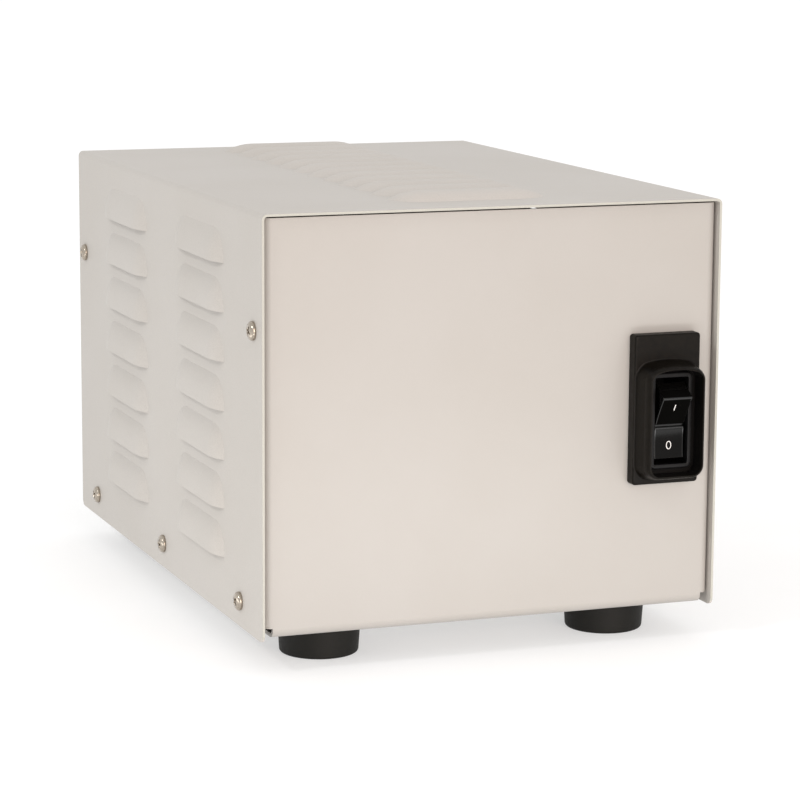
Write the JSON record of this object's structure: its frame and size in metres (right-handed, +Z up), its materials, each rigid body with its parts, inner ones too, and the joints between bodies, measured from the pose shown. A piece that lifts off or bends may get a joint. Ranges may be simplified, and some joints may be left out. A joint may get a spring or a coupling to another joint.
{
  "type": "isolation transformer",
  "caption": "Portable isolation transformer in a louvred sheet-steel case on rubber feet, with a guarded rocker breaker, rear outlets and a cord gland.",
  "frame": {"origin": "centre of the bounding box in X and Y, at the floor that the rubber feet stand on", "axes": "+Z up, -Y towards the front panel with the breaker, +Y towards the rear panel with the outlets and gland, +X to the right seen from the front"},
  "size_m": [0.184, 0.284, 0.169],
  "materials": {
    "panel_paint": "smooth baked enamel, satin",
    "cover_paint": "fine textured powder coat, satin",
    "zinc_screw": "bright zinc plate",
    "foot_rubber": "matte moulded rubber",
    "guard_plastic": "matte moulded plastic",
    "breaker_plastic": "semi-gloss moulded plastic",
    "rocker_plastic": "gloss moulded plastic",
    "tinned_brass": "tin plate",
    "outlet_plastic": "satin thermoset moulding",
    "strap_steel": "zinc plated sheet steel",
    "brass": "turned and stamped brass",
    "gland_nylon": "matte moulded nylon",
    "gland_rubber": "matte rubber",
    "lamination_steel": "stacked laminations, varnished",
    "bobbin_nylon": "natural nylon",
    "enamelled_copper": "enamelled wire in layers",
    "copper_foil": "bright foil",
    "insulating_tape": "polyester tape",
    "block_plastic": "matte thermoset",
    "board_laminate": "solder-masked laminate",
    "varistor_coat": "dipped epoxy",
    "capacitor_case": "moulded case",
    "lead_black": "extruded insulation",
    "lead_white": "extruded insulation",
    "lead_green": "extruded insulation"
  },
  "bodies": {
    "case": {"chassis_tray": "panel_paint", "wrap_cover": "cover_paint", "cover_screws": "zinc_screw", "foot_front_left": "foot_rubber", "foot_front_right": "foot_rubber", "foot_rear_left": "foot_rubber", "foot_rear_right": "foot_rubber", "foot_screws": "zinc_screw", "foot_nuts": "zinc_screw", "switch_guard": "guard_plastic", "guard_screws": "zinc_screw", "breaker_body": "breaker_plastic", "breaker_terminals": "tinned_brass", "outlet_body_left": "outlet_plastic", "outlet_body_right": "outlet_plastic", "outlet_strap_left": "strap_steel", "outlet_strap_right": "strap_steel", "outlet_contacts_left": "brass", "outlet_contacts_right": "brass", "outlet_terminal_screws": "brass", "outlet_mount_screws": "zinc_screw", "outlet_mount_nuts": "zinc_screw", "gland_body": "gland_nylon", "gland_locknut": "gland_nylon", "gland_seal": "gland_rubber", "gland_dome_nut": "gland_nylon", "core_e_stack": "lamination_steel", "core_i_stack": "lamination_steel", "coil_bobbin": "bobbin_nylon", "primary_winding": "enamelled_copper", "shield_foil": "copper_foil", "secondary_winding": "enamelled_copper", "winding_wrap": "insulating_tape", "core_angle_left": "strap_steel", "core_angle_right": "strap_steel", "core_bar_left": "strap_steel", "core_bar_right": "strap_steel", "core_bolts": "zinc_screw", "core_nuts": "zinc_screw", "mount_bolts": "zinc_screw", "mount_nuts": "zinc_screw", "terminal_block": "block_plastic", "terminal_screws": "brass", "block_screws": "zinc_screw", "surge_board": "board_laminate", "board_standoffs": "brass", "board_screws": "zinc_screw", "surge_varistors": "varistor_coat", "filter_capacitor": "capacitor_case", "ground_stud": "brass", "ground_nut": "brass", "line_lead": "lead_black", "primary_leads": "lead_white", "secondary_leads": "lead_black", "ground_lead": "lead_green"},
    "rocker": {"breaker_rocker": "rocker_plastic"}
  },
  "joints": [
    {"name": "rocker_tilt", "type": "hinge", "parent": "case", "child": "rocker", "pos_m": [0.0666, -0.1278, 0.0853], "axis": [-1, 0, 0], "range_deg": [0, 32]}
  ]
}
